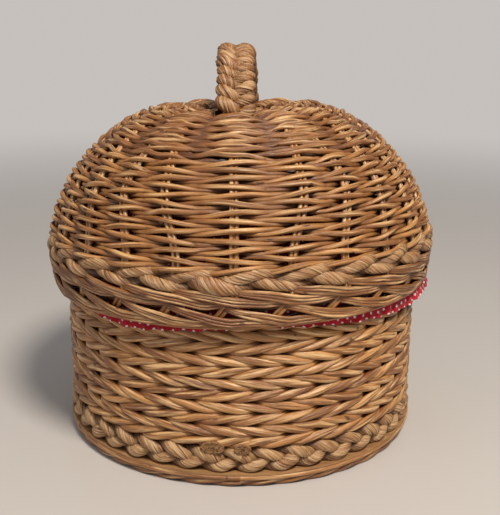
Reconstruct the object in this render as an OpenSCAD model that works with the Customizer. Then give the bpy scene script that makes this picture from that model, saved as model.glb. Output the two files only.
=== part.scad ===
// Round wicker bread box: a straight woven basket on a plywood board, and a
// domed woven lid with an arched handle that slips over the basket's rim.
// Millimetres, +Z up, front at -Y. The origin is the middle of the foot.
// Rows of weaving are drawn as closed bands at the rods' true outer size.

/* [Basket] */
// Outer radius of the woven wall
basket_r = 149; // [130:1:170]
// Number of upright stakes in the wall
stake_count = 39; // [33:3:42]
// Thickness of an upright stake
stake_d = 4.5; // [3:0.1:6]
// Thickness of a rod woven into the wall
wall_rod = 5.4; // [4:0.1:6.5]
// Height that one woven row of the wall takes up
wall_pitch = 9.2; // [8:0.1:11]
// Height of the border that closes the top of the wall
rim_h = 6.2; // [5:0.1:8]
// Height of the husk plait round the bottom of the wall
basket_plait_h = 19.5; // [15:0.5:26]
// How far both husk plaits stand out past the weaving
plait_proud = 1; // [0:0.1:2]

/* [Foot] */
// Height of the foot border under the board
foot_h = 7.5; // [6:0.1:10]
// Width of the foot border, measured towards the middle
foot_w = 15; // [13:0.5:20]
// Thickness of the plywood board
board_t = 4; // [3:0.5:8]
// How far the board stands out past the wall
board_edge = 0.5; // [0:0.1:3]
// Depth that the stakes go into the foot border
stake_foot_in = 3.5; // [1:0.5:5]
// Depth that the stakes go into the top border
stake_rim_in = 3; // [1:0.5:4]

/* [Cloth liner] */
// Thickness of the cloth
cloth_t = 1; // [0.6:0.1:1.4]
// How far the collar hangs down outside the wall
collar_drop = 47; // [42:1:60]
// Depth of the gathers at the collar's hem
gather = 0.9; // [0.2:0.1:1.2]
// Number of gathers round the hem
gather_count = 30; // [20:1:31]
// How far the hem is pushed out on one side
flare = 8; // [0:0.5:9]
// Direction of that side, turned from the front
flare_at = 80; // [0:5:355]

/* [Lid] */
// How far the lid reaches down over the basket
lid_overlap = 37; // [32:1:44]
// Height from the lid's lower edge to its widest ring
lid_widest_h = 13.5; // [8:0.5:18]
// Radius of the side curve from the widest ring to the crown
dome_r = 134.5; // [120:0.5:150]
// Radius of the flat crown
crown_r = 75; // [70:1:85]
// Thickness of a rod or stake of the lid
lid_rod = 3.4; // [3:0.1:3.8]
// How much narrower the lower edge is than the widest ring
lid_tuck = 4.6; // [3:0.1:5.5]
// Height of the border at the lid's lower edge
lid_border_h = 11; // [8:0.5:14]
// Height of the open band above the border
lid_open_h = 6; // [4:0.5:8]
// Height of the waling above the open band
lid_wale_h = 10; // [7:0.5:12]
// Height of the husk plait round the lid
lid_plait_h = 16; // [12:0.5:20]
// Height of the openings between two woven rows, at every pair of stakes
lid_slot_h = 3.8; // [2.5:0.1:4.5]
// Width of such an opening on each side of its pair of stakes
lid_slot_side = 4.5; // [3:0.1:5.5]
// Lean of the open band's stake ends from upright
stake_lean = 38; // [20:1:45]
// Slant of the lid as it sits on the basket
lid_tilt = 1.6; // [0:0.1:2]
// Turn of the lid about its own axis
lid_turn = -1.5; // [-10:0.5:10]

/* [Handle] */
// Height of the handle's top above the crown
handle_rise = 51; // [44:1:60]
// Half the distance between the outsides of the handle's feet
handle_half = 66; // [62:0.5:68]
// Width of the plaited grip
grip_w = 31; // [28:0.5:40]
// Thickness of the plaited grip
grip_t = 16; // [13:0.5:18]
// Thickness of each bent core rod
core_d = 7; // [5:0.1:8]
// Distance between the middles of the two core rods
core_gap = 15; // [14.6:0.1:16]
// Thickness of a locking peg
peg_d = 3; // [2:0.1:4]
// Length of a locking peg
peg_l = 27; // [24:0.5:34]

/* [Fits] */
// Room round a rod where it passes through the weaving
rod_clear = 0.2; // [0.1:0.05:0.3]
// Room between the cloth and what it lies on
cloth_gap = 0.3; // [0.2:0.05:0.5]
// Room between the lid's seat and the cloth on the rim
seat_gap = 0.8; // [0.6:0.1:1.5]
// Room round a core rod inside the grip, and round a peg
core_clear = 0.05; // [0.02:0.01:0.1]

/* [Hidden] */
$fn = 72;
wall_rows_per_band = 2;
wall_bands = 7;
lid_bands = 10;
pair_count = 24;
hub_rods = 12;
// The weave between two openings keeps at least 6 degrees of the 15
slot_most = 9;
past = 1;

board_z = foot_h;
floor_z = board_z + board_t;
wall_z = floor_z + basket_plait_h;
wall_band_h = wall_rows_per_band * wall_pitch;
rim_z = wall_z + wall_bands * wall_band_h;
basket_h = rim_z + rim_h;
stake_r = basket_r - wall_rod - stake_d / 2;
wall_in_r = stake_r - stake_d / 2 - wall_rod;

lid_wall = 3 * lid_rod + 2 * rod_clear;
lid_z = basket_h - lid_overlap;
dome_z = lid_z + lid_widest_h;
dome_in_r = dome_r - lid_wall;
seat_up = lid_overlap - lid_widest_h;
seat_r = basket_r + cloth_gap + cloth_t + seat_gap;
dome_x = seat_r - sqrt(dome_in_r * dome_in_r - seat_up * seat_up);
lid_r = dome_x + dome_r;
crown_a = acos((crown_r - dome_x) / dome_r);
crown_z = dome_z + dome_r * sin(crown_a);
crown_under_z = dome_z + dome_in_r * sin(crown_a);
crown_in_r = dome_x + dome_in_r * cos(crown_a);
layer_r = dome_r - lid_rod - rod_clear - lid_rod / 2;
layer_z = dome_z + layer_r * sin(crown_a);
layer_end_r = dome_x + layer_r * cos(crown_a);

open_z = lid_z + lid_border_h;
wale_z = open_z + lid_open_h;
plait_z = wale_z + lid_wale_h;
plait_a = asin((plait_z - dome_z) / dome_r);
row_a = plait_a + lid_plait_h / dome_r * 180 / PI;
band_a = (crown_a - row_a) / lid_bands;
edge_r = lid_r - lid_tuck;
wale_r = dome_x + dome_r * cos(plait_a);
edge_in_r = seat_r + 0.6;
wale_in_r = dome_x + dome_in_r * cos(plait_a);

pair_w = 2 * lid_rod + 2 * rod_clear;
hub_r = pair_count * (pair_w + 1.4) / (2 * PI);
mid_r = (hub_r + crown_in_r) / 2;

arch_r = (handle_half * handle_half + handle_rise * handle_rise) / (2 * handle_rise);
arch_z = crown_z + handle_rise - arch_r;
core_r = arch_r - grip_t / 2;
peg_z = crown_under_z - peg_d / 2 - rod_clear;
peg_y = sqrt(core_r * core_r - (peg_z - arch_z) * (peg_z - arch_z));
core_end = asin((peg_z - peg_d - arch_z) / core_r);

husk = [0.80, 0.65, 0.40];
willow = [0.72, 0.50, 0.25];
cloth = [0.72, 0.08, 0.10];

// A closed ring of the given inner and outer radius
module ring(r_in, r_out, h) {
    difference() {
        cylinder(r = r_out, h = h, $fn = 180);
        translate([0, 0, -past]) cylinder(r = r_in, h = h + 2 * past, $fn = 180);
    }
}

// A ring whose section is a lying stadium: flat above and below
module soft_ring(r_in, r_out, h) {
    rotate_extrude($fn = 180) {
        translate([r_in + h / 2, 0]) square([r_out - r_in - h, h]);
        translate([r_in + h / 2, h / 2]) circle(d = h);
        translate([r_out - h / 2, h / 2]) circle(d = h);
    }
}

// Copies round the basket, one for each stake
module at_stakes() {
    for (i = [0 : stake_count - 1])
        rotate([0, 0, i * 360 / stake_count - 90]) translate([stake_r, 0, 0]) children();
}

module stake_holes(z, h) {
    at_stakes() translate([0, 0, z]) cylinder(d = stake_d + 2 * rod_clear, h = h, $fn = 32);
}

module foot_border() {
    color(willow) difference() {
        soft_ring(basket_r - foot_w, basket_r, foot_h);
        stake_holes(foot_h - stake_foot_in - rod_clear, stake_foot_in + rod_clear + past);
    }
}

module base_board() {
    color([0.78, 0.60, 0.38]) difference() {
        translate([0, 0, board_z]) cylinder(r = basket_r + board_edge, h = board_t, $fn = 180);
        stake_holes(board_z - past, board_t + 2 * past);
    }
}

module basket_stakes() {
    z0 = foot_h - stake_foot_in;
    color(willow) at_stakes() translate([0, 0, z0])
        cylinder(d = stake_d, h = rim_z + stake_rim_in - z0, $fn = 32);
}

module basket_husk_plait() {
    color(husk) difference() {
        translate([0, 0, floor_z]) ring(wall_in_r, basket_r + plait_proud, basket_plait_h);
        stake_holes(floor_z - past, basket_plait_h + 2 * past);
    }
}

// Two rows of three rods each, slanting up and then down
module wall_chevron(i) {
    z = wall_z + (i - 1) * wall_band_h;
    color(willow) difference() {
        translate([0, 0, z]) ring(wall_in_r, basket_r, wall_band_h);
        stake_holes(z - past, wall_band_h + 2 * past);
    }
}

module basket_rim_border() {
    color(willow) difference() {
        translate([0, 0, rim_z]) soft_ring(wall_in_r, basket_r, rim_h);
        stake_holes(rim_z - past, stake_rim_in + rod_clear + past);
    }
}

// The bag lies on the board, climbs the wall and folds over the rim
module liner_bag() {
    out = wall_in_r - cloth_gap;
    over = basket_r + cloth_gap;
    top = basket_h + cloth_gap;
    color(cloth) rotate_extrude($fn = 180) polygon([[0, floor_z], [out, floor_z], [out, top], [over, top],
        [over, basket_h - cloth_t], [over + cloth_t, basket_h - cloth_t], [over + cloth_t, top + cloth_t],
        [out - cloth_t, top + cloth_t], [out - cloth_t, floor_z + cloth_t], [0, floor_z + cloth_t]]);
}

// How far the collar is pushed out: u runs from 0 at the rim to 1 at the hem
function wrap(a) = a - 360 * round(a / 360);
function pushed(a) = exp(-pow(wrap(a - flare_at) / 24, 2));
function low(u) = max(0, (u - 0.74) / 0.26);
function collar_out(a, u) = gather * (0.25 * u + low(u)) * (1 + cos(gather_count * a)) / 2
    + flare * pushed(a) * pow(low(u), 0.7);
function collar_z(a, u) = basket_h - cloth_t - (collar_drop - cloth_t) * u * (1 - 0.17 * pushed(a) * low(u));
function collar_point(a, u, skin) =
    let (r = basket_r + cloth_gap + collar_out(a, u) + skin * cloth_t)
    [r * sin(a), -r * cos(a), collar_z(a, u)];

module liner_collar() {
    steps = 4 * gather_count;
    rings = [0, 0.45, 0.74, 0.86, 1];
    n = len(rings);
    points = [for (skin = [0, 1]) for (u = rings) for (i = [0 : steps - 1])
        collar_point(i * 360 / steps, u, skin)];
    function at(skin, k, i) = (skin * n + k) * steps + i % steps;
    inner = [for (k = [0 : n - 2]) for (i = [0 : steps - 1]) for (t = [0, 1])
        t == 0 ? [at(0, k, i), at(0, k + 1, i), at(0, k + 1, i + 1)]
        : [at(0, k, i), at(0, k + 1, i + 1), at(0, k, i + 1)]];
    outer = [for (k = [0 : n - 2]) for (i = [0 : steps - 1]) for (t = [0, 1])
        t == 0 ? [at(1, k, i), at(1, k + 1, i + 1), at(1, k + 1, i)]
        : [at(1, k, i), at(1, k, i + 1), at(1, k + 1, i + 1)]];
    top = [for (i = [0 : steps - 1]) for (t = [0, 1])
        t == 0 ? [at(0, 0, i), at(0, 0, i + 1), at(1, 0, i + 1)] : [at(0, 0, i), at(1, 0, i + 1), at(1, 0, i)]];
    hem = [for (i = [0 : steps - 1]) for (t = [0, 1])
        t == 0 ? [at(0, n - 1, i), at(1, n - 1, i + 1), at(0, n - 1, i + 1)]
        : [at(0, n - 1, i), at(1, n - 1, i), at(1, n - 1, i + 1)]];
    color(cloth) polyhedron(points, concat(inner, outer, top, hem));
}

// The lid's own frame: slanted about the middle of its lower edge, then turned
module on_lid() {
    translate([0, 0, lid_z]) rotate([0, -lid_tilt, 0]) rotate([0, 0, lid_turn])
        translate([0, 0, -lid_z]) children();
}

// Copies round the lid, one for each pair of stakes
module at_pairs() {
    for (i = [0 : pair_count - 1]) rotate([0, 0, i * 360 / pair_count - 90]) children();
}

// The dome's side curve as short straight steps between two angles
function side_curve(r, a0, a1, steps) = [for (k = [0 : steps]) let (a = a0 + (a1 - a0) * k / steps)
    [dome_x + r * cos(a), dome_z + r * sin(a)]];

module wall_slice(r_in, r_out, a0, a1, steps) {
    polygon(concat(side_curve(r_out, a0, a1, steps), side_curve(r_in, a1, a0, steps)));
}

// A band of the dome with a channel for every pair of stakes
module dome_band(a0, a1, proud) {
    spare = (a1 - a0) / 2;
    narrow = dome_x + layer_r * cos(a1);
    channel = 2 * asin((pair_w / 2 + rod_clear) / narrow);
    in_r = dome_in_r + lid_rod;
    out_r = dome_r - lid_rod;
    difference() {
        rotate_extrude($fn = 180) wall_slice(dome_in_r, dome_r + proud, a0, a1, 2);
        at_pairs() rotate([0, 0, -channel / 2]) rotate_extrude(angle = channel, $fn = 180)
            wall_slice(in_r, out_r, a0 - spare, a1 + spare, 4);
    }
}

// Openings through the dome between two woven rows, which the stakes cross
module pair_slots(a) {
    rise = lid_slot_h / dome_r * 90 / PI;
    width = min(slot_most, 2 * asin((pair_w / 2 + lid_slot_side) / (dome_x + layer_r * cos(a))));
    at_pairs() rotate([0, 0, -width / 2]) rotate_extrude(angle = width, $fn = 180)
        wall_slice(dome_in_r - past, dome_r + past, a - rise, a + rise, 1);
}

module lid_chevron(i) {
    low = row_a + (i - 1) * band_a;
    on_lid() color(willow) difference() {
        dome_band(low, low + band_a, 0);
        pair_slots(low + band_a / 2);
    }
}

module lid_husk_plait() {
    on_lid() color(husk) dome_band(plait_a, row_a, plait_proud);
}

// A ring between two heights of the lid's lower band, whose sides both lean.
// The inner side ends lower than the outer one where the dome's slant begins.
module leaning_ring(z0, z1, in0, in1, in_z1) {
    share0 = (z0 - lid_z) / (plait_z - lid_z);
    share1 = (z1 - lid_z) / (plait_z - lid_z);
    out0 = edge_r + (wale_r - edge_r) * share0;
    out1 = edge_r + (wale_r - edge_r) * share1;
    rotate_extrude($fn = 180) polygon([[in0, z0], [out0, z0], [out1, z1], [in1, in_z1]]);
}

module lid_border() {
    on_lid() color(willow) leaning_ring(lid_z, open_z, edge_in_r, edge_in_r, open_z);
}

module lid_wale() {
    in_z = dome_z + dome_in_r * sin(plait_a);
    on_lid() color(willow) leaning_ring(wale_z, plait_z, edge_in_r, wale_in_r, in_z);
}

// The stakes' lower ends lean over to the side before they join the border
module lid_stake_ends() {
    mid_z = (open_z + wale_z) / 2;
    mid = (edge_in_r + edge_r + (wale_r - edge_r) * (mid_z - lid_z) / (plait_z - lid_z)) / 2;
    apart = (lid_rod / 2 + rod_clear) / cos(stake_lean);
    on_lid() color(willow) intersection() {
        at_pairs() for (side = [-1, 1]) translate([mid, side * apart, mid_z]) rotate([stake_lean, 0, 0])
                cylinder(d = lid_rod, h = 4 * lid_open_h, center = true, $fn = 32);
        translate([0, 0, open_z]) cylinder(r = lid_r, h = lid_open_h, $fn = 180);
    }
}

// Each stake starts at the crown's hub and runs down the dome to the waling
module lid_stakes() {
    on_lid() color(willow) at_pairs() for (side = [-1, 1]) translate([0, side * (lid_rod + rod_clear) / 2, 0]) {
        translate([hub_r, 0, layer_z]) rotate([0, 90, 0])
            cylinder(d = lid_rod, h = layer_end_r - hub_r, $fn = 32);
        translate([layer_end_r, 0, layer_z]) sphere(d = lid_rod, $fn = 32);
        translate([dome_x, 0, dome_z]) rotate([90, 0, 0]) rotate([0, 0, plait_a])
            rotate_extrude(angle = crown_a - plait_a, $fn = 180)
                translate([layer_r, 0]) circle(d = lid_rod, $fn = 32);
    }
}

// The crown's rim meets the dome on the slanting face where the dome ends
module crown_ring(r0, r1, slanted) {
    difference() {
        rotate_extrude($fn = 180) polygon([[r0, crown_under_z], [slanted ? crown_in_r : r1, crown_under_z],
            [slanted ? crown_r : r1, crown_z], [r0, crown_z]]);
        at_pairs() translate([r0 - past, -pair_w / 2 - rod_clear, layer_z - lid_rod / 2 - rod_clear])
            cube([crown_r, pair_w + 2 * rod_clear, lid_rod + 2 * rod_clear]);
        cores(core_d + 2 * rod_clear);
    }
}

module crown_weave_outer() {
    on_lid() color(willow) crown_ring(mid_r, crown_r, true);
}

module crown_weave_inner() {
    on_lid() color(willow) crown_ring(hub_r, mid_r, false);
}

// Rods side by side across the hub, each as long as the hub is wide there
module hub_bundle(z) {
    for (i = [0 : hub_rods - 1]) {
        off = (i - (hub_rods - 1) / 2) * lid_rod;
        half = sqrt(pow(hub_r - rod_clear, 2) - pow(abs(off) + lid_rod / 2, 2));
        translate([off, half, z]) rotate([90, 0, 0]) cylinder(d = lid_rod - rod_clear, h = 2 * half, $fn = 32);
    }
}

module crown_rods_long() {
    on_lid() color(willow) hub_bundle(layer_z);
}

module crown_rods_cross() {
    on_lid() color(willow) rotate([0, 0, 90]) hub_bundle(layer_z - lid_rod);
}

// Sweeps a section round the handle's arch, from one angle to another
module arch(a0, a1) {
    translate([0, 0, arch_z]) rotate([90, 0, 90]) rotate([0, 0, a0])
        rotate_extrude(angle = a1 - a0, $fn = 180) children();
}

module cores(d) {
    for (side = [-1, 1]) arch(core_end, 180 - core_end)
        translate([core_r, side * core_gap / 2]) circle(d = d, $fn = 32);
}

module handle_core() {
    on_lid() color(willow) difference() {
        cores(core_d);
        pegs(peg_d + 2 * core_clear, peg_l + 2 * past);
    }
}

module handle_grip() {
    flat = grip_w - grip_t;
    on_lid() color(husk) difference() {
        arch(2, 178) translate([core_r, 0]) difference() {
            union() {
                square([grip_t, flat], center = true);
                for (side = [-1, 1]) translate([0, side * flat / 2]) circle(d = grip_t);
            }
            for (side = [-1, 1]) translate([0, side * core_gap / 2]) circle(d = core_d + 2 * core_clear, $fn = 32);
        }
        translate([-grip_w, -2 * arch_r, crown_z - 2 * arch_r]) cube([2 * grip_w, 4 * arch_r, 2 * arch_r]);
    }
}

module pegs(d, l) {
    for (side = [-1, 1]) translate([-l / 2, side * peg_y, peg_z]) rotate([0, 90, 0])
        cylinder(d = d, h = l, $fn = 32);
}

module handle_pegs() {
    on_lid() color(willow) pegs(peg_d, peg_l);
}

foot_border();
base_board();
basket_stakes();
basket_husk_plait();
for (i = [1 : wall_bands])
    wall_chevron(i);
basket_rim_border();
liner_bag();
liner_collar();
lid_border();
lid_stake_ends();
lid_wale();
lid_husk_plait();
for (i = [1 : lid_bands])
    lid_chevron(i);
lid_stakes();
crown_weave_outer();
crown_weave_inner();
crown_rods_long();
crown_rods_cross();
handle_core();
handle_grip();
handle_pegs();
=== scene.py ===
# %% [markdown]
# # A round wicker bread box
#
# A willow basket on a plywood board, with a red spotted cloth liner, and a
# domed willow lid with a plaited handle. A basket is nothing but bent rods, so
# this lesson bends rods: they pass in front of the stakes and behind them.
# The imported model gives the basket's sizes, the lid's side curve repeats its
# own, and all are in metres.

# %% Load the frame
import math

import bpy
import numpy as np
from mathutils import Matrix, Vector


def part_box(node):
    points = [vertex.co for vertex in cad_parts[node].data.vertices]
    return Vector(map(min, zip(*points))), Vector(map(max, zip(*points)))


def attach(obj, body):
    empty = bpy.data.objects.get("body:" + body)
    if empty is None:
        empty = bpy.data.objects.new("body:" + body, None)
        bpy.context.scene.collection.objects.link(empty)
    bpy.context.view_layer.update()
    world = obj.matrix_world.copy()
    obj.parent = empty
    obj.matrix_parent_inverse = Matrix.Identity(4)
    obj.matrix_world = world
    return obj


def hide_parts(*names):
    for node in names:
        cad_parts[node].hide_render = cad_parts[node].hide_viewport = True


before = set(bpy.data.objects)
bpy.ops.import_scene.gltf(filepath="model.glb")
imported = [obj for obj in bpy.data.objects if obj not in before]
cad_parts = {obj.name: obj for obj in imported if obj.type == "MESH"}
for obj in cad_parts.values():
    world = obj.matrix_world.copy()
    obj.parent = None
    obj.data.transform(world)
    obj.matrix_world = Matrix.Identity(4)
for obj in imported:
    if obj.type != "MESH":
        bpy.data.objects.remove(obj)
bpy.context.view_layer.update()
scene = bpy.context.scene
mm = 0.001
tau = math.tau


def heights(node):
    """The lower and the upper height of a node."""
    return [corner.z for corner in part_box(node)]


def placed(name, data):
    """A new object in the scene."""
    thing = bpy.data.objects.new(name, data)
    scene.collection.objects.link(thing)
    return thing


# %% [markdown]
# ## The camera
#
# The photographer stood about 70 cm from the basket and looked down by 15
# degrees. The lens and the small shift put the foot, the rim and the crown
# where the photograph has them.

# %% Camera
camera_back = 0.7183
camera_up = 0.3338
look_right = 0.02197
look_down = 0.2598
roll = 0.01214
long_side = 515
focal_pixels = 852.2
shift_pixels = (10.1, 5.7)

camera_data = bpy.data.cameras.new("camera")
camera_data.sensor_width = 36
camera_data.lens = focal_pixels * camera_data.sensor_width / long_side
camera_data.shift_x, camera_data.shift_y = (-shift / long_side for shift in shift_pixels)
camera = placed("camera", camera_data)
camera.matrix_world = (Matrix.Translation((0, -camera_back, camera_up)) @ Matrix.Rotation(-look_right, 4, "Z")
                       @ Matrix.Rotation(math.pi / 2 - look_down, 4, "X") @ Matrix.Rotation(roll, 4, "Z"))
scene.camera = camera

# %% [markdown]
# ## Shader sums in plain Python
#
# A finish is a sum of simple patterns. So that the sums can be read, a small
# class wraps a socket, and writing a * b on two sockets adds the Math node.
# A colour is red, green and blue.

# %% Shader helper
def maths(operation, flipped=False):
    """The method for one sign between two values, such as + or *."""
    def add_node(self, other):
        first, second = (other, self) if flipped else (self, other)
        return self.paint.node("Math", {0: first, 1: second}, operation=operation)
    return add_node


class Value:
    """A number or a colour that changes over a surface."""
    def __init__(self, paint, socket):
        self.paint, self.socket = paint, socket

    __add__ = __radd__ = maths("ADD")
    __sub__ = maths("SUBTRACT")
    __rsub__ = maths("SUBTRACT", True)
    __mul__ = maths("MULTIPLY")

    def math(self, operation):
        return self.paint.node("Math", {0: self}, operation=operation)

    def clamped(self):
        """The value, kept between 0 and 1."""
        return self.paint.node("Math", {0: self, 1: 0.0}, operation="ADD", use_clamp=True)

    def step(self, low, high):
        """0 below low, 1 above high and smooth between."""
        limits = {"Value": self, "From Min": low, "From Max": high}
        return self.paint.node("MapRange", limits, interpolation_type="SMOOTHSTEP")


class Paint:
    """The nodes of a material or of the world."""
    def __init__(self, owner):
        owner.use_nodes = True
        self.owner, self.tree = owner, owner.node_tree
        self.shader = self.tree.nodes.get("Principled BSDF")

    def node(self, kind, values=None, output=0, **settings):
        made = self.tree.nodes.new("ShaderNode" + kind)
        for key, setting in settings.items():
            setattr(made, key, setting)
        for key, value in (values or {}).items():
            self.put(made.inputs[key], value)
        return Value(self, made.outputs[output])

    def put(self, socket, value):
        if isinstance(value, Value):
            self.tree.links.new(value.socket, socket)
        else:
            socket.default_value = (*value, 1) if socket.type == "RGBA" else value

    def mix(self, amount, first, second):
        """A colour between two colours."""
        return self.node("Mix", {0: amount, 6: first, 7: second}, 2, data_type="RGBA")

    def layers(self, colour, *layers):
        """A colour with others laid over it, one after another. Each has its mask."""
        for amount, over in layers:
            colour = self.mix(amount, colour, over)
        return colour

    def to_camera(self, lit, seen, output, share=1.0):
        """The camera sees one shader by a share, and all other light meets the other."""
        both = {0: self.node("LightPath", output="Is Camera Ray") * share, 1: lit, 2: seen}
        self.put(self.tree.nodes[output].inputs["Surface"], self.node("MixShader", both))

    def join(self, x=0.0, y=0.0, z=0.0):
        return self.node("CombineXYZ", {0: x, 1: y, 2: z})

    def split(self, vector):
        """The three numbers of a vector."""
        made = self.node("SeparateXYZ", {0: vector}).socket.node
        return [Value(self, socket) for socket in made.outputs]

    def noise(self, place, scale=1.0, detail=3.0, roughness=0.5):
        values = {"Vector": place, "Scale": scale, "Detail": detail, "Roughness": roughness}
        return self.node("TexNoise", values)

    def place(self):
        """The place on the object, in metres."""
        return self.node("TexCoord", output="Object")

    def strand(self):
        """The metres along a rod and round it, or along a sheet and across it."""
        return self.split(self.node("UVMap", uv_map="strand"))[:2]

    def read_rod(self):
        """Reads the place on a rod, the rod's tone and how far it lies out of the weave."""
        self.along, self.around = self.strand()
        self.tone, self.out = (self.node("Attribute", {}, "Fac", attribute_name=key) for key in ("tone", "out"))

    def grain(self, along, around, seed, detail=3.0, roughness=0.5):
        """Noise with so many waves a metre along a rod and round it. The seed keeps the rods apart."""
        place = self.join(self.along * along, self.around * around, self.tone * seed)
        return self.noise(place, 1.0, detail, roughness)

    def bump(self, height, strength, distance):
        normal = self.node("Bump", {"Height": height, "Strength": strength, "Distance": distance})
        self.put(self.shader.inputs["Normal"], normal)

    def surface(self, colour, roughness, **fixed):
        self.put(self.shader.inputs["Base Color"], colour)
        self.put(self.shader.inputs["Roughness"], roughness)
        for key, value in fixed.items():
            self.shader.inputs[key.replace("_", " ")].default_value = value
        return self.owner


# %% [markdown]
# ## Rods
#
# A willow rod is a thin round stick that follows a wavy way, so it is a curve
# with a round bevel: the points give the way, and each has its own radius. It
# becomes a mesh whose UV runs along and round each rod in metres. Every vertex
# also keeps the rod's own tone and how far it lies out of the weave.

# %% Rod helper
def unit(vectors):
    return vectors / np.linalg.norm(vectors, axis=-1, keepdims=True)


def travelled(points):
    """The way from the first point to each point, or the mean way down a grid of points."""
    steps = np.linalg.norm(np.diff(points, axis=0), axis=-1)
    return np.concatenate([[0], np.cumsum(steps if steps.ndim == 1 else steps.mean(axis=1))])


def points_of(*parts):
    """Points from their coordinates, each a number or a list."""
    return np.stack(np.broadcast_arrays(*parts), axis=-1)


def round_at(radius, azimuth, z):
    """Points round the Z axis. The azimuth is in radians from the front, towards +X."""
    return points_of(radius * np.sin(azimuth), -radius * np.cos(azimuth), z)


def wobble(count, reach, waves, rng):
    """A closed line of small smooth offsets, as no hand lays two rows alike."""
    turn = np.linspace(0, tau, count, endpoint=False)
    line = np.zeros(count)
    for wave in range(1, waves + 1):
        line += rng.normal() * np.sin(wave * turn + rng.uniform(0, tau))
    return reach * line / math.sqrt(waves / 2)


def round_ends(points, radius, steps=4):
    """Closes both ends of an open rod with a dome."""
    lean = np.linspace(0, np.pi / 2, steps + 1)[1:]
    dome = 0.8 * radius * np.sin(lean)[:, None]
    low = points[0] + dome * unit(points[0] - points[1])
    high = points[-1] + dome * unit(points[-1] - points[-2])
    small = radius * np.maximum(np.cos(lean), 0.002)
    radii = np.concatenate([small[::-1], np.full(len(points), radius), small])
    return np.vstack([low[::-1], points, high]), radii


def rod(points, radii, out=0.0, tone=0.5, closed=True, tilt=0.0, flat_to=None):
    """The facts of one rod. flat_to are directions along which its section is pressed."""
    count = len(points)
    radius, out, tilt = (np.broadcast_to(values, count) for values in (radii, out, tilt))
    return dict(points=points, radius=radius, out=out, tone=tone, closed=closed, tilt=tilt, flat_to=flat_to)


def add_spline(curve, points, closed):
    spline = curve.splines.new("POLY")
    spline.points.add(len(points) - 1)
    spline.points.foreach_set("co", np.hstack([points, np.ones((len(points), 1))]).ravel())
    spline.use_cyclic_u = closed
    return spline


def bent_curve(name, rod_list, fineness, section):
    """A curve object with one spline a rod."""
    curve = bpy.data.curves.new(name, "CURVE")
    curve.dimensions = "3D"
    curve.bevel_depth = 1
    curve.bevel_resolution = fineness
    if section is not None:
        curve.bevel_mode = "OBJECT"
        curve.bevel_object = section
    for r in rod_list:
        spline = add_spline(curve, r["points"], r["closed"])
        for key in ("radius", "tilt"):
            spline.points.foreach_set(key, np.ascontiguousarray(r[key], float))
    return placed(name, curve)


def read(data, key, wide=1, kind=float):
    """Numbers that a mesh keeps, one row for each of its parts."""
    values = np.zeros(len(data) * wide, kind)
    data.foreach_get(key, values)
    return values.reshape(-1, wide)


def rods_mesh(name, rod_list, fineness, section=None, pressed=1.0):
    """One mesh of many rods. section is a curve object with the shape of a cut across a rod."""
    holder = bent_curve(name, rod_list, fineness, section)
    curve = holder.data
    mesh = bpy.data.meshes.new_from_object(holder.evaluated_get(bpy.context.evaluated_depsgraph_get()))
    bpy.data.objects.remove(holder)
    bpy.data.curves.remove(curve)
    sides = 4 + 2 * fineness
    if section is not None:
        sides = len(section.data.splines[0].points)
        bpy.data.objects.remove(section)
    mesh.name = name

    def spread(key):
        return np.concatenate([np.repeat(r[key], sides, axis=0) for r in rod_list])

    if pressed != 1.0:
        co = read(mesh.vertices, "co", 3)
        way = spread("flat_to")
        co -= (1 - pressed) * np.sum((co - spread("points")) * way, axis=1, keepdims=True) * way
        mesh.vertices.foreach_set("co", co.ravel())
    rings = [len(r["points"]) * sides for r in rod_list]
    tone = np.repeat([r["tone"] for r in rod_list], rings)
    # The out values set painted shade and painted sheen in the finishes.
    for key, values in (("tone", tone), ("out", spread("out"))):
        mesh.attributes.new(key, "FLOAT", "POINT").data.foreach_set("value", values.astype(np.float32))
    size = np.array([(travelled(r["points"])[-1], tau * r["radius"].mean()) for r in rod_list])
    rod_of = np.repeat(np.arange(len(rod_list)), rings)[read(mesh.loops, "vertex_index", 1, int)[:, 0]]
    layer = mesh.uv_layers[0]
    layer.data.foreach_set("uv", (read(layer.data, "uv", 2) * size[rod_of]).ravel())
    layer.name = "strand"
    mesh.shade_smooth()
    return mesh


def grid_mesh(name, points, flat):
    """A surface over a grid of places, or over several grids. flat is the UV of each place, in metres."""
    index = np.arange(points[..., 0].size).reshape(points.shape[:-1])
    corners = (index[..., :-1, :-1], index[..., :-1, 1:], index[..., 1:, 1:], index[..., 1:, :-1])
    faces = np.stack(corners, axis=-1).reshape(-1, 4)
    mesh = bpy.data.meshes.new(name)
    mesh.from_pydata(points.reshape(-1, 3).tolist(), [], faces.tolist())
    uv = mesh.uv_layers.new(name="strand")
    uv.data.foreach_set("uv", np.ascontiguousarray(flat).reshape(-1, 2)[faces.ravel()].ravel())
    mesh.shade_smooth()
    return mesh


def piece(name, mesh, body, slot, *nodes, look=None):
    """A piece that rides on a body, stands for its nodes and takes its slot's finish or its own look."""
    thing = placed(name, mesh)
    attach(thing, body)
    if nodes:
        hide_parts(*nodes)
    mesh.materials.append(finish[look or slot])
    print(name, len(mesh.polygons), "faces")
    return thing


def willow_piece(name, rod_list, body, node, fineness=2):
    return piece(name, rods_mesh(name, rod_list, fineness), body, "willow", node)


# %% [markdown]
# ## The stage
#
# A plain pale floor and two large soft lamps: a key lamp at the front right,
# where the photograph's window was, and a weaker one at the left. The camera
# sees a pale world, which lights the object gently. Far away the floor takes
# the backdrop's colour, so no line shows where it ends.

# %% Stage
floor_size = 12
floor_colour = (0.50, 0.465, 0.44)
floor_roughness = 0.6
floor_fades = (0.45, 2.2)
backdrop_colour = (0.56, 0.53, 0.505)
world_light = 0.32
lamp_aim = Vector((0, 0, 0.15))


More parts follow.
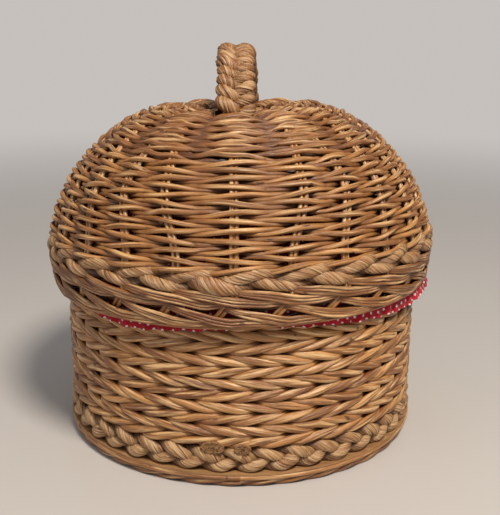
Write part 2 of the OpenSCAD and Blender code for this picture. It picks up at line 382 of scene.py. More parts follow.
def lamp(name, place, size, power, colour):
    light = bpy.data.lights.new(name, "AREA")
    light.shape = "DISK"
    light.size = size
    light.energy = power
    light.color = colour
    turned = (lamp_aim - Vector(place)).to_track_quat("-Z", "Y").to_matrix().to_4x4()
    placed(name, light).matrix_world = Matrix.Translation(place) @ turned


corners = floor_size / 2 * np.array([-1, 1])
places = points_of(corners, corners[:, None], 0)
mesh = grid_mesh("floor", places, places[..., :2])
paint = Paint(bpy.data.materials.new("floor paint"))
mesh.materials.append(paint.surface(floor_colour, floor_roughness))
far = paint.node("VectorMath", {0: paint.place()}, "Value", operation="LENGTH")
glow = paint.node("Emission", {"Color": backdrop_colour})
lit = Value(paint, paint.shader.outputs[0])
paint.to_camera(lit, glow, "Material Output", far.step(*floor_fades))
placed("floor", mesh)

lamp("key lamp", place=(0.45, -1.00, 1.65), size=0.45, power=41, colour=(1.0, 0.935, 0.83))
lamp("fill lamp", place=(-1.4, -0.9, 1.1), size=1.2, power=4, colour=(0.94, 0.94, 1.0))

scene.world = bpy.data.worlds.new("world")
paint = Paint(scene.world)
light = paint.node("Background", {"Color": (1, 1, 1), "Strength": world_light})
seen = paint.node("Background", {"Color": backdrop_colour})
paint.to_camera(light, seen, "World Output")
scene.view_settings.view_transform = "Standard"

# %% [markdown]
# ## Willow
#
# Buff willow is honey brown, with a faint sheen. Each rod has its own tone,
# fine fibres run along it, and small dark scars sit where twigs were. Rods
# that lie out of the weave are paler, partly worn and partly a painted sheen
# where light falls on them, and where they dive behind the stakes they carry
# painted shade.

# %% Willow finish
def willow_paint():
    brown, honey, worn_and_sheen = (0.190, 0.058, 0.011), (0.47, 0.212, 0.058), (0.74, 0.472, 0.222)
    dark, thread = (0.130, 0.039, 0.008), (0.12, 0.042, 0.010)
    scarred, painted_shade = (0.055, 0.018, 0.006), (0.058, 0.018, 0.004)
    paint = Paint(bpy.data.materials.new("willow"))
    paint.read_rod()
    drift = paint.grain(22, 18, 91)
    fibre = paint.grain(75, 2300, 37, 4, 0.6)
    coarse = paint.grain(30, 380, 53, 3, 0.6)
    streak = paint.grain(24, 640, 23, 4, 0.7)
    patch = paint.noise(paint.place(), 16)
    pale = (paint.tone * 0.9 + drift * 0.9 + patch * 0.7 - 0.76).clamped()
    scars = paint.grain(95, 210, 71, 2).step(0.68, 0.74)
    colour = paint.layers(
        paint.mix(pale, brown, honey),
        # Paler where the rod lies out of the weave: partly wear, partly a painted sheen where light falls.
        (coarse.step(0.44, 0.64) * paint.out.step(0.0, 1.0) * 0.8, worn_and_sheen),
        (streak.step(0.49, 0.62) * 0.85, dark),
        (fibre.step(0.5, 0.75) * 0.4, thread),
        # Painted shade where the rod leaves the weave and dives behind the stakes.
        ((1.0 - paint.out.step(-0.85, 0.40)) * 0.92, painted_shade),
        (scars * 0.85, scarred))
    paint.bump(fibre * 0.6 + streak * 1.8 + coarse * 1.2 - scars * 0.9, 0.65, 0.6 * mm)
    return paint.surface(colour, 0.30 + streak * 0.26, Specular_IOR_Level=0.65)


# %% [markdown]
# ## Husk
#
# The plaits are twisted dry husk: straw coloured, papery, and full of fine
# wrinkles, whose dark lines are painted shade. The UV turns with the strand,
# so noise stretched along it winds round as the real fibres do. Pale fibres
# show where a strand lies out, partly their own colour and partly a painted
# highlight, and where it lies in it gets painted shade. A cut across a strand
# shows the ends of its leaves: small holes darkened with painted shade, and
# pale rims.

# %% Husk finish
def husk_paint():
    brown, yellow, pale = (0.255, 0.092, 0.023), (0.55, 0.330, 0.145), (0.74, 0.56, 0.35)
    thread, crease_shade = (0.16, 0.056, 0.014), (0.085, 0.027, 0.007)
    stained, painted_shade = (0.16, 0.055, 0.013), (0.070, 0.024, 0.007)
    paint = Paint(bpy.data.materials.new("husk"))
    paint.read_rod()
    leaf = paint.grain(30, 260, 31, 4, 0.6)
    fibre = paint.grain(45, 1100, 61, 4, 0.65)
    crease = paint.grain(26, 420, 47, 3, 0.7)
    stain = paint.grain(80, 120, 17, 3, 0.6)
    straw = (leaf.step(0.36, 0.60) * 0.6 + paint.tone * 0.6 - 0.1).clamped()
    colour = paint.layers(
        paint.mix(straw, brown, yellow),
        # Pale fibres where the strand lies out: partly the husk's own pale fibres, partly a painted highlight.
        (fibre.step(0.50, 0.66) * paint.out.step(-0.3, 0.8) * 0.6, pale),
        ((1.0 - fibre.step(0.36, 0.48)) * 0.7, thread),
        # Painted shade in the wrinkles that wind round the strand.
        ((1.0 - crease.step(0.37, 0.44)) * 0.85, crease_shade),
        (stain.step(0.60, 0.70) * 0.6, stained),
        # Painted shade where the strand lies in, under the others.
        ((1.0 - paint.out.step(-0.6, 0.75)) * 0.85, painted_shade))
    paint.bump(fibre + crease * 1.6 + leaf * 0.8, 0.8, 1.0 * mm)
    return paint.surface(colour, 0.30 + leaf * 0.28, Specular_IOR_Level=0.6)


def cut_husk_paint():
    hole_shade, brown, pale = (0.070, 0.024, 0.008), (0.36, 0.170, 0.062), (0.52, 0.31, 0.14)
    paint = Paint(bpy.data.materials.new("cut husk"))
    place = paint.place()
    holes = paint.node("TexVoronoi", {"Vector": place, "Scale": 1100.0}, "Distance")
    spread = paint.noise(place, 500, 4, 0.7)
    # Painted shade in the holes between the leaves' cut ends.
    colour = paint.mix(holes.step(0.15, 0.55), hole_shade, brown)
    colour = paint.mix(spread.step(0.50, 0.64) * 0.7, colour, pale)
    paint.bump(holes + spread, 1.0, 1.2 * mm)
    return paint.surface(colour, 0.75)


# %% [markdown]
# ## Plywood
#
# Three thin plies show as bands on the board's edge, and the faces have a
# soft grain along X. Both come from the place on the object.

# %% Plywood finish
def plywood_paint():
    brown, pale = (0.25, 0.115, 0.040), (0.42, 0.230, 0.095)
    middle, end = (0.16, 0.062, 0.018), (0.22, 0.10, 0.035)
    paint = Paint(bpy.data.materials.new("plywood"))
    x, y, z = paint.split(paint.place())
    grain = paint.noise(paint.join(x * 9, y * 160, z * 900), 1, 5, 0.6)
    end_grain = paint.noise(paint.join(x * 420, y * 420, z * 1700), 1, 3, 0.6)
    low, high = heights("base_board")
    outer_plies = (z - (low + high) / 2).math("ABSOLUTE").step((high - low) * 0.14, (high - low) * 0.20)
    colour = paint.layers(
        paint.mix(grain.step(0.35, 0.7), brown, pale),
        ((1.0 - outer_plies) * 0.45, middle),
        (end_grain.step(0.5, 0.7) * 0.4, end))
    paint.bump(grain + end_grain, 0.4, 0.4 * mm)
    return paint.surface(colour, 0.55 + grain * 0.15)


# %% [markdown]
# ## Cloth
#
# Deep red cotton with small white dots in slanting rows, and a fine weave.
# The dots follow the cloth, so they read its own UV, in metres.

# %% Cloth finish
dot_pitch = 6.0 * mm
dot_size = 2.3 * mm
thread_pitch = 0.45 * mm


def cloth_paint():
    deep, bright, shaded = (0.31, 0.005, 0.014), (0.52, 0.012, 0.030), (0.22, 0.004, 0.01)
    dot_white = (0.74, 0.70, 0.68)
    paint = Paint(bpy.data.materials.new("cloth"))
    along, across = paint.strand()
    slant = math.sqrt(0.5) / dot_pitch
    lattice = paint.join((along + across) * slant, (along - across) * slant)
    dot = paint.node("TexVoronoi", {"Vector": lattice, "Scale": 1.0, "Randomness": 0.0}, "Distance",
                     voronoi_dimensions="2D")
    edge = dot_size / 2 / dot_pitch
    white = 1.0 - dot.step(edge * 0.88, edge * 1.1)
    thread = tau / thread_pitch
    weave = (along * thread).math("SINE") * (across * thread).math("SINE")
    wear = paint.noise(paint.join(along * 60, across * 60), 1, 4, 0.6)
    red = paint.mix(wear.step(0.35, 0.7), deep, bright)
    colour = paint.mix(white, red, dot_white)
    colour = paint.mix((0.5 - weave * 0.5) * 0.14, colour, shaded)
    paint.bump(weave * 0.5 + wear, 0.35, 0.3 * mm)
    return paint.surface(colour, 0.9, Sheen_Weight=0.12, Sheen_Roughness=0.5, Specular_IOR_Level=0.2)


finish = {"willow": willow_paint(), "husk": husk_paint(), "cut husk": cut_husk_paint(),
          "plywood": plywood_paint(), "cloth": cloth_paint()}

# %% [markdown]
# ## The way of a woven rod
#
# In waling, three rods work in turn: each passes in front of two stakes and
# behind one. In pairing, two rods work: in front of one, behind one. A rod
# rises while it is outside, so the next one starts under it, and the row looks
# like a rope. A row woven the other way falls, and two such rows make an arrow.
#
# A weave is a list of named values. over is the stakes a rod passes in front
# of, plies are rods laid side by side, and early moves the rods on. square and
# dive set how suddenly a rod comes out and goes in, shade how dark it is there
# and tuck how deep. half and centre say where it rises, in stakes.

# %% Weaving
plain_weave = dict(over=1, plies=1, ply_pitch=0, early=0, square=1, dive=1, shade=0, tuck=0, half=0.5,
                   centre=0.5, tones=(0, 1))
rod_uneven = 0.04


def weave_row(place, height, slant, weave, rng):
    """All rods of one closed row. place turns (stake, height, depth) into points."""
    over = weave["over"]
    count = weave["stakes"] * weave["steps"]
    along = np.arange(count) / weave["steps"] + weave["stakes"] / 2
    row = []
    for strand in range(over + 1):
        phase = (along - strand + 0.5 + weave["early"]) % (over + 1)
        outside = phase < over
        back = np.clip(phase - over, 0, 1)
        ramp = np.sin(np.pi * np.minimum(phase, over - phase).clip(0, 0.5)) ** weave["square"]
        swell = np.sin(np.pi * np.clip(phase / over, 0, 1))
        dive = np.sin(np.pi * back) ** weave["dive"]
        shade = weave["shade"]
        # out masks the finishes: painted shade where a rod leaves and enters the weave, painted sheen where it
        # lies out.
        out = np.where(outside, ramp - shade * (1 - ramp), -shade - (1 - shade) * dive)
        front = weave["outward"] * (ramp + weave["bulge"] * swell ** 2) - weave["tuck"] * swell * phase / over
        depth = weave["middle"] - np.where(outside, front, -weave["inward"] * dive)
        climb = np.clip((phase - weave["centre"]) / weave["half"], -1, 1)
        slope = weave["straight"] * climb + (1 - weave["straight"]) * np.sin(np.pi / 2 * climb)
        rise = slant * weave["rise"] * np.where(outside, slope, np.cos(np.pi * back))
        radii = weave["rod"] / 2 * (1 - weave["taper"] * (1 - np.where(outside, swell ** 1.5, 0)))
        radii = radii * (1 + wobble(count, rod_uneven, 9, rng))
        shift = wobble(count, weave["loose"], 31, rng)
        deeper = wobble(count, weave["loose"] * 0.5, 31, rng)
        open_by = weave["ply_pitch"] * np.where(outside, 0.6 + 0.4 * swell, 0.6)
        for ply in range(weave["plies"]):
            beside = (ply - (weave["plies"] - 1) / 2) * open_by
            own = wobble(count, weave["loose"] * 0.5, 17, rng) if weave["plies"] > 1 else 0
            points = place(along, height + rise + shift + beside + own, depth + deeper)
            row.append(rod(points, radii, out, rng.uniform(*weave["tones"])))
    return row


# %% [markdown]
# ## The wall
#
# Seven pairs of waled rows, woven to and fro round the upright stakes. The
# frame gives the wall's radius and each pair's height.

# %% Wall rows
stake_count = 39
wall_pairs = 7
wall_middle = 7.75 * mm
wall_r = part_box("wall_chevron_1")[1].x
wall_rng = np.random.default_rng(11)
low, high = heights("wall_chevron_1")
row_pitch = (high - low) / 2
wall_weave = dict(
    plain_weave, stakes=stake_count, over=2, steps=8, middle=wall_middle, outward=4.15 * mm,
    inward=4.4 * mm, bulge=0.07, rod=6.2 * mm, taper=0.28, rise=row_pitch * 0.29, loose=0.28 * mm,
    straight=0.7, dive=1.5, shade=0.45, half=0.6, centre=1)


def on_wall(along, z, depth):
    """A point on the wall. along counts the stakes from the front, and depth goes inwards."""
    return round_at(wall_r - depth, along * tau / stake_count, z)


for number in range(1, wall_pairs + 1):
    low = heights(f"wall_chevron_{number}")[0]
    rows = []
    for row, slant in enumerate((1, -1)):
        rows += weave_row(on_wall, low + (row + 0.5) * row_pitch, slant, wall_weave, wall_rng)
    willow_piece(f"wall_rows_{number}", rows, "basket", f"wall_chevron_{number}", 4)

# %% [markdown]
# ## The stakes and the rim of the basket
#
# The stakes are straight rods that stand in the board's holes. The rim border
# is three ropes side by side, each of two rods. Both show through gaps and
# when the lid is off.

# %% Stakes and rim
stake_thick = 4.5 * mm
stake_rng = np.random.default_rng(12)
rim_turns = 26


def twisted(turns, strands, centre, height, reach, thick, rng, steps=720, out=0.7):
    """A closed rope on the wall whose strands wind turns times round its middle."""
    u = np.linspace(0, 1, steps, endpoint=False)
    rope = []
    for strand in range(strands):
        angle = tau * (turns * u + strand / strands)
        z = height + reach * np.sin(angle) + wobble(steps, 0.12 * mm, 25, rng)
        radii = thick / 2 * (1 + wobble(steps, rod_uneven, 13, rng))
        points = on_wall(u * stake_count, z, centre - reach * np.cos(angle))
        rope.append(rod(points, radii, out * np.cos(angle), rng.uniform(0, 0.7)))
    return rope


stakes = []
for number in range(stake_count):
    points = on_wall(number, np.linspace(*heights("basket_stakes"), 12), wall_middle)
    stakes.append(rod(points, stake_thick / 2, 0.1, stake_rng.uniform(), closed=False))
willow_piece("basket_uprights", stakes, "basket", "basket_stakes")

low, high = heights("basket_rim_border")
rim_thick = (high - low) * 0.55
rim_reach = (high - low - rim_thick) / 2
rim_outer = rim_reach + rim_thick / 2
rim = []
for depth in (rim_outer, wall_middle, 2 * wall_middle - rim_outer):
    rim += twisted(rim_turns, 2, depth, (low + high) / 2, rim_reach, rim_thick, stake_rng)
willow_piece("rim_rods", rim, "basket", "basket_rim_border")

# %% [markdown]
# ## The foot
#
# The stakes' lower ends are twisted into a rope of three under the board, with
# one slanting stroke a stake. A smooth rod over it hides the joint with the
# board, and thinner ropes inside give the foot its width.

# %% Foot
foot_rng = np.random.default_rng(13)
foot_turns = stake_count // 3
foot_thick, foot_reach = 4.3 * mm, 2.0 * mm
foot_half = foot_reach + foot_thick / 2
inner_thick, inner_reach, inner_first = 3.4 * mm, 1.5 * mm, 9.4 * mm
top_thick, top_raised, top_deep, top_steps = 4.4 * mm, 0.5 * mm, 0.9 * mm, 360
foot = twisted(foot_turns, 3, foot_half - 0.2 * mm, foot_half + 0.2 * mm, foot_reach, foot_thick, foot_rng,
               1014, 0.95)
for number in range(3):
    foot += twisted(foot_turns, 2, inner_first + number * inner_thick, inner_thick, inner_reach, inner_thick,
                    foot_rng, 360)
u = np.linspace(0, 1, top_steps, endpoint=False)
z = heights("foot_border")[1] + top_raised + wobble(top_steps, 0.15 * mm, 9, foot_rng)
depth = top_deep + wobble(top_steps, 0.12 * mm, 9, foot_rng)
foot.append(rod(on_wall(u * stake_count, z, depth), top_thick / 2, 0.75, 0.6))
willow_piece("foot_rods", foot, "basket", "foot_border")

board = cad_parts["base_board"]
board.data.materials[0] = finish["plywood"]

# %% [markdown]
# ## Plaits of husk
#
# Three strands go over and under each other. Each swings up and down once
# while it goes in and out twice, and the three do it one after another. A
# strand is a bundle of husk leaves twisted hard, so its section has creases,
# and it turns as it goes: the creases wind round it like a thread.

# %% Plait helper
def creased_section(creases, depth, sides, rng):
    """A curve that is the cut across a twisted strand."""
    angle = np.linspace(0, tau, sides, endpoint=False)
    bend = angle + 0.35 * np.sin(angle * 2 + rng.uniform(0, 6)) / creases
    fold = 1 - np.abs(np.sin(creases * bend / 2))
    radius = 1 - depth * fold ** 2 + 0.03 * np.sin(3 * angle + rng.uniform(0, 6))
    data = bpy.data.curves.new("section", "CURVE")
    data.dimensions = "2D"
    add_spline(data, points_of(radius * np.cos(angle), radius * np.sin(angle), 0), True)
    return placed("section", data)


def twist(points, lay, rng):
    """How far a strand's section has turned at every point, in radians. A turn is one lay long."""
    length = travelled(points)
    uneven = sum(rng.normal() * np.sin(tau * wave * length / length[-1] + rng.uniform(0, 6))
                 for wave in range(1, 15))
    return tau * length / lay + 0.25 * uneven


def whole_turns(tilt):
    """A closed strand must meet itself, so its twist ends after whole turns."""
    count = len(tilt)
    turns = max(1, round(tilt[-1] / tau * (count + 1) / count))
    return tilt * (tau * turns * (count - 1) / count / tilt[-1])


def ring_plait(place, plait, rng, steps=900):
    """A closed three-strand plait. lobe_at is the azimuth of one lobe, and side, 1 or -1, turns its arrows."""
    swings, reach = plait["swings"], plait["reach"]
    u = np.linspace(0, 1, steps, endpoint=False)
    strands = []
    for strand in range(3):
        turn = tau * (swings * u + strand / 3) + np.pi / 2 - swings * math.radians(plait["lobe_at"])
        radii = plait["half"] * (1 + wobble(steps, 0.10, swings * 3, rng))
        if "swell" in plait:
            radii = radii * plait["swell"](u, np.sin(turn))
        z = plait["middle"] + plait["swing"] * np.sin(turn) + wobble(steps, 0.35 * mm, swings * 2, rng)
        outward = plait["side"] * reach * np.sin(2 * turn) + wobble(steps, 0.2 * mm, swings * 2, rng)
        points = place(u, z, reach - outward)
        way = unit(place(u, z, reach - outward - 1 * mm) - points)
        tilt = whole_turns(twist(points, plait["lay"], rng))
        # How far the strand lies out sets its painted highlight and painted shade.
        strands.append(rod(points, radii, outward / reach, rng.uniform(*plait["tones"]), True, tilt, way))
    return strands


def husk_piece(name, strands, section, pressed, body, node):
    return piece(name, rods_mesh(name, strands, 0, section, pressed), body, "husk", node)


# %% [markdown]
# ## The plait round the bottom of the wall
#
# Thirteen full swings go round, so a lobe shows at every stake. Its strands
# are pressed flat against the stakes.

# %% Basket plait
plait_rng = np.random.default_rng(14)
plait_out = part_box("basket_husk_plait")[1].x
low, high = heights("basket_husk_plait")
plait_section = creased_section(10, 0.17, 36, plait_rng)
plait_press = 0.80
plait_half = 4.5 * mm
basket_plait = dict(
    swings=13, middle=(low + high) / 2, swing=(high - low) / 2 - plait_half * 0.92, reach=2.9 * mm,
    half=plait_half, lobe_at=-4.0, side=-1, lay=34 * mm, tones=(0.4, 0.8))


def at_plait(u, z, depth):
    return round_at(plait_out - plait_half * plait_press - depth, tau * u, z)


strands = ring_plait(at_plait, basket_plait, plait_rng)
husk_piece("basket_plait", strands, plait_section, plait_press, "basket", "basket_husk_plait")

# %% [markdown]
# ## Where the bottom plait begins and ends
#
# At the front two strands come out over the plait's upper edge and are cut
# off. Each is a short stub whose cut face looks outwards: rings that grow to
# the rim, then shrink over the face, all a little uneven.

# %% Cut ends
cut_rng = np.random.default_rng(15)
stub_deep = 9 * mm
stub_proud = 0.4 * mm
stub_turn = np.linspace(0, tau, 41)
stub_share = np.concatenate([[0.8, 0.9, 0.98, 1.0, 0.96], np.linspace(0.88, 0.02, 12)])[:, None]
stub_depth = np.concatenate([[1, 0.6, 0.25, 0.06, 0.0], np.full(12, 0.03)])[:, None] * stub_deep - stub_proud
stub_list = ((-8.0, 32.4 * mm, 18 * mm, 9.5 * mm), (0.6, 31.8 * mm, 12.5 * mm, 7.5 * mm))


def stub(azimuth, z, wide, high):
    """A cut strand at an azimuth in degrees. wide and high are the size of its face."""
    rough = cut_rng.normal(0, 1, (len(stub_share), len(stub_turn)))
    rough[:, -1] = rough[:, 0]
    share = stub_share * (1 + 0.02 * rough)
    depth = stub_depth + 0.25 * mm * rough * (stub_depth < stub_deep * 0.2)
    turn = math.radians(azimuth) + share * wide / 2 * np.cos(stub_turn) / plait_out
    return round_at(plait_out - depth, turn, z + share * high / 2 * np.sin(stub_turn))


places = np.stack([stub(*facts) for facts in stub_list])
piece("plait_cut_ends", grid_mesh("plait_cut_ends", places, places[..., :2]), "basket", "husk", look="cut husk")

# %% [markdown]
# ## The lid's own frame
#
# The lid sits a little askew, lower on the left, and slightly turned. All on
# it is placed on its side curve: a straight part, the dome and the flat crown.
# The distance s along that curve starts at the lid's lower edge, and a depth
# goes inwards from the weave's outside.

# %% Lid places
lid_tilt = math.radians(1.6)
lid_turn = math.radians(-1.5)
lid_low = 129 * mm
edge_r, wale_r, wale_top = 159.35 * mm, 163.27 * mm, 156 * mm
dome_x, dome_z, dome_r = 29.45 * mm, 142.5 * mm, 134.5 * mm
crown_r, crown_z = 75 * mm, 269.05 * mm
curve_below = 8 * mm
curve_end_r = 8 * mm
curve_step = 0.5 * mm
soft_reach = 10

lid_matrix = np.array(Matrix.Translation((0, 0, lid_low)) @ Matrix.Rotation(-lid_tilt, 4, "Y")
                      @ Matrix.Rotation(lid_turn, 4, "Z") @ Matrix.Translation((0, 0, -lid_low)))


def lid_side():
    """Points down the lid's side curve, their distance from its lower edge and their outward way."""
    lean = (wale_r - edge_r) / (wale_top - lid_low)
    low = np.linspace([edge_r - lean * curve_below, lid_low - curve_below], [wale_r, wale_top], 60)[:-1]
    start = math.asin((wale_top - dome_z) / dome_r)
    end = math.acos((crown_r - dome_x) / dome_r)
    angle = np.linspace(start, end, 220)
    dome = points_of(dome_x + dome_r * np.cos(angle), dome_z + dome_r * np.sin(angle))
    crown = np.linspace([crown_r, crown_z], [curve_end_r, crown_z], 90)[1:]
    line = np.vstack([low, dome, crown])
    far = travelled(line)
    even = np.arange(0, far[-1], curve_step)
    line = points_of(*(np.interp(even, far, part) for part in line.T))
    soft = np.pad(line, ((soft_reach, soft_reach), (0, 0)), mode="edge")
    window = np.hanning(2 * soft_reach + 3)[1:-1]
    soft = points_of(*(np.convolve(part, window / window.sum(), "valid") for part in soft.T))
    inside = slice(soft_reach + 2, -soft_reach - 2)
    line[inside] = soft[inside]
    way = np.gradient(line, axis=0)
    return even - curve_below * math.hypot(1, lean), line, unit(points_of(way[:, 1], -way[:, 0]))


side_s, side_line, side_out = lid_side()


def tilted(x, y, z):
    """Points of a lid that sits straight, moved to where the lid sits."""
    return points_of(x, y, z) @ lid_matrix[:3, :3].T + lid_matrix[:3, 3]


def on_lid(azimuth, s, depth):
    """A point on the lid. azimuth is in degrees from the front, towards +X."""
    azimuth = np.radians(azimuth)
    radius, z = (np.interp(s, side_s, side_line[:, i]) - depth * np.interp(s, side_s, side_out[:, i])
                 for i in (0, 1))
    return tilted(radius * np.sin(azimuth), -radius * np.cos(azimuth), z)


# %% [markdown]
# ## Where the lid's stakes run
#
# Twenty-four pairs of thin stakes leave the hub. Two and two they were woven
# as one at the crown, then they open like a fan down the dome. The front pair
# runs alone, and three run together at the back.

# %% Stake fan
pair_count = 24
pair_step = 360 / pair_count
last_pair = pair_count // 2
pairs = range(1 - last_pair, last_pair + 1)
fan_s = (45 * mm, 110 * mm, 177 * mm, 222 * mm)
joined_s, hub_s = fan_s[2:]
# Degrees from a pair to the middle of its group, where the two part and where they are joined.
split_near, split_far = 8, 7
joined_off, joined_back = 3.3, 5.5


def smooth(x):
    x = np.clip(x, 0, 1)
    return x * x * (3 - 2 * x)


def pair_azimuth(pair, s):
    """The place round the lid of a pair of stakes at a distance along the side curve, in degrees."""
    number = abs(pair)
    base = pair_step * number
    group = 2 * pair_step * ((number + 1) // 2)
    if number in (0, last_pair):
        split = joined = base
    elif number % 2:
        split, joined = group - split_near, group - (joined_back if number == last_pair - 1 else joined_off)
    else:
        split, joined = group + split_far, group + joined_off
    azimuth = base
    for low, high, move in zip(fan_s, fan_s[1:], (split - base, joined - split, base - joined)):
        azimuth = azimuth + move * smooth((s - low) / (high - low))
    return azimuth if pair >= 0 else -azimuth


def lid_places(count, s_row):
    """Turns a row's own steps, one a stake, into places on the lid."""
    first = 1 - count // 2
    numbers = range(first, first + count)
    table = np.array([pair_azimuth(i, s_row) if count == pair_count else i * 360 / count for i in numbers])
    steps = np.arange(first - count, first + 2 * count)
    azimuths = np.concatenate([table - 360, table, table + 360])

    def place(along, s, depth):
        along = (along - first) % count + first
        return on_lid(np.interp(along, steps, azimuths), s, depth)
    return place


def lid_row(s, slant, weave, rng):
    return weave_row(lid_places(weave["stakes"], s), s, slant, weave, rng)


# %% [markdown]
# ## The lid's weave
#
# Rows of thin rods, woven to and fro with two rods instead of three. The lower
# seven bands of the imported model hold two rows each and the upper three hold
# three. From the seventh band's last row on, rods pass over two pairs at once.

# %% Lid rows
lid_rng = np.random.default_rng(21)
row_s = 39.9 * mm
lid_pitch = 6.76 * mm
lid_middle = 5.3 * mm
lid_bands, two_row_bands = 10, 7
fan_from, wide_from = 98 * mm, 128 * mm
lid_weave = dict(
    plain_weave, stakes=pair_count, steps=12, middle=lid_middle, outward=3.7 * mm, inward=3.4 * mm,
    bulge=0.12, rod=3.95 * mm, taper=0.08, rise=1.9 * mm, loose=0.45 * mm, straight=0.85, dive=3.5,
    tones=(0.25, 1.0))
fan_weave = dict(
    lid_weave, steps=16, rod=4.15 * mm, rise=1.75 * mm, outward=3.4 * mm, loose=0.3 * mm, tones=(0.15, 0.8))
top_weave = dict(
    lid_weave, stakes=pair_count // 2, steps=22, square=0.9, dive=4, outward=3.0 * mm, inward=3.6 * mm,
    rise=2.5 * mm, rod=4.1 * mm, loose=0.6 * mm, tones=(0.0, 0.5), shade=0.3)

slant = 1
for number in range(lid_bands):
    rows = []
    in_band = 2 if number < two_row_bands else 3
    for row in range(in_band):
        s = row_s + (2 * number + 2 * (row + 0.5) / in_band) * lid_pitch
        weave = top_weave if s > wide_from else fan_weave if s > fan_from else lid_weave
        rows += lid_row(s, slant, weave, lid_rng)
        slant = -slant
    willow_piece(f"lid_rows_{number + 1}", rows, "lid", f"lid_chevron_{number + 1}")

# %% [markdown]
# ## The crown and the hub
#
# Close rows on the flat top hold two crossed bundles of rods, with which the
# lid was begun. The stakes run from the hub, under those rows and down the
# dome to the waling.

# %% Crown, hub and stakes
crown_s = 178.6 * mm
crown_pitch = 4.7 * mm
crown_weave = dict(
    top_weave, steps=18, middle=5.4 * mm, outward=3.6 * mm, rise=2.1 * mm, tones=(0.0, 0.35), shade=0.45)
for name, numbers in (("outer", range(0, 5)), ("inner", range(5, 9))):
    rows = []
    for row in numbers:
        rows += lid_row(crown_s + (row + 0.6) * crown_pitch, 1 - 2 * (row % 2), crown_weave, lid_rng)
    willow_piece(f"crown_rows_{name}", rows, "lid", f"crown_weave_{name}")

hub_reach = 38.8 * mm
hub_count, hub_pitch, hub_half, hub_steps = 12, 3.4 * mm, 1.65 * mm, 14
for name, depth in (("rods_long", 5.2 * mm), ("rods_cross", 8.6 * mm)):
    bundle = []
    for number in range(hub_count):
        off = (number - (hub_count - 1) / 2) * hub_pitch
        half = math.sqrt(hub_reach ** 2 - off ** 2)
        line = np.linspace(-half, half, hub_steps)
        bowed = off + 0.5 * mm * np.sin(line / half * 3 + number)
        x, y = (bowed, line) if name == "rods_long" else (line, bowed)
        points, radii = round_ends(tilted(x, y, crown_z - depth), hub_half)
        bundle.append(rod(points, radii, 0.3, lid_rng.uniform(), closed=False))
    willow_piece(f"hub_{name}", bundle, "lid", f"crown_{name}")

upright_depth = lid_middle - 0.9 * mm
upright_half = 1.75 * mm
uprights = []
s = np.concatenate([np.arange(22 * mm, hub_s, 3 * mm), [hub_s]])
for pair in pairs:
    for beside in (-1, 1):
        close = 1.78 * mm * np.interp(s, [0, joined_s, hub_s], [1, 1, 0.9])
        drift = 0.25 * mm * np.sin(s * 60 + lid_rng.uniform(0, 6))
        aside = (beside * close + drift) / np.interp(s, side_s, side_line[:, 0])
        points = on_lid(pair_azimuth(pair, s) + np.degrees(aside), s, upright_depth)
        radius = upright_half * lid_rng.uniform(0.95, 1.05)
        uprights.append(rod(points, radius, 1.0, lid_rng.uniform(0.6, 1), closed=False))
willow_piece("lid_uprights", uprights, "lid", "lid_stakes")

# %% [markdown]
# ## The lid's lower edge
#
# The stakes' ends lean over in an open band. Above it lies a band of waling
# and below it the border, both of bundles of three thin rods that fall to the
# right.

# %% Lid border and waling
edge_rng = np.random.default_rng(22)
open_middle = 14.15 * mm
ends_low, ends_high, ends_half, ends_apart = 2 * mm, 25 * mm, 1.65 * mm, 2.1 * mm
ends_lean = math.tan(math.radians(38))
ends_left = -2.6
ends = []
for pair in pairs:
    for beside in (-1, 1):
        s = np.linspace(ends_low, ends_high, 9)
        sideways = (s - open_middle) * ends_lean + beside * ends_apart + edge_rng.normal() * 0.2 * mm
        azimuth = pair_step * pair + ends_left + np.degrees(sideways / edge_r)
        depth = 4.4 * mm + 1.2 * mm * np.abs(s - open_middle) / (11 * mm)
        ends.append(rod(on_lid(azimuth, s, depth), ends_half, 0.4, edge_rng.uniform(), closed=False))
willow_piece("lid_leaning_ends", ends, "lid", "lid_stake_ends")

border_s, wale_s = 9.6 * mm, 23.4 * mm
under_rods = ((0.2 * mm, 3.2 * mm), (1.2 * mm, 6.0 * mm))
under_half, under_steps = 1.5 * mm, 240
bundle_weave = dict(
    lid_weave, over=2, steps=14, middle=4.6 * mm, outward=3.3 * mm, inward=2.6 * mm, bulge=0.1,
    tuck=1.6 * mm, rod=2.8 * mm, taper=0.18, rise=5.8 * mm, loose=0.3 * mm, plies=3, ply_pitch=2.5 * mm,
    half=0.58, centre=0.55, straight=0.7, early=0.7, dive=1, tones=(0.0, 0.35), shade=0.5)
wale_weave = dict(bundle_weave, rise=5.2 * mm, half=0.8, centre=0.75, early=0.6)
border = lid_row(border_s, -1, bundle_weave, edge_rng)
azimuth = np.linspace(-180, 180, under_steps, endpoint=False)
for s, depth in under_rods:
    points = on_lid(azimuth, s + wobble(under_steps, 0.2 * mm, 9, edge_rng), depth)
    border.append(rod(points, under_half, 0.1, edge_rng.uniform()))
willow_piece("border_rods", border, "lid", "lid_border")
willow_piece("waling_rods", lid_row(wale_s, -1, wale_weave, edge_rng), "lid", "lid_wale")

# %% [markdown]
# ## The plait round the lid
#
# The same three strands, but longer drawn: eight swings go round. Left of the
# middle one strand is fatter and the next one thinner.

# %% Lid plait
lid_plait_rng = np.random.default_rng(24)
lid_half = 4.3 * mm
lid_press = 0.85
lid_plait_deep = lid_half * lid_press - 0.6 * mm
lid_section = creased_section(10, 0.16, 36, lid_plait_rng)
fat_at, fat_width, fat_more = -6, 6.5, 0.5
thin_at, thin_width, thin_less = -24, 8, 0.25


def at_lid_plait(u, s, depth):
    return on_lid(360 * u, s, depth + lid_plait_deep)


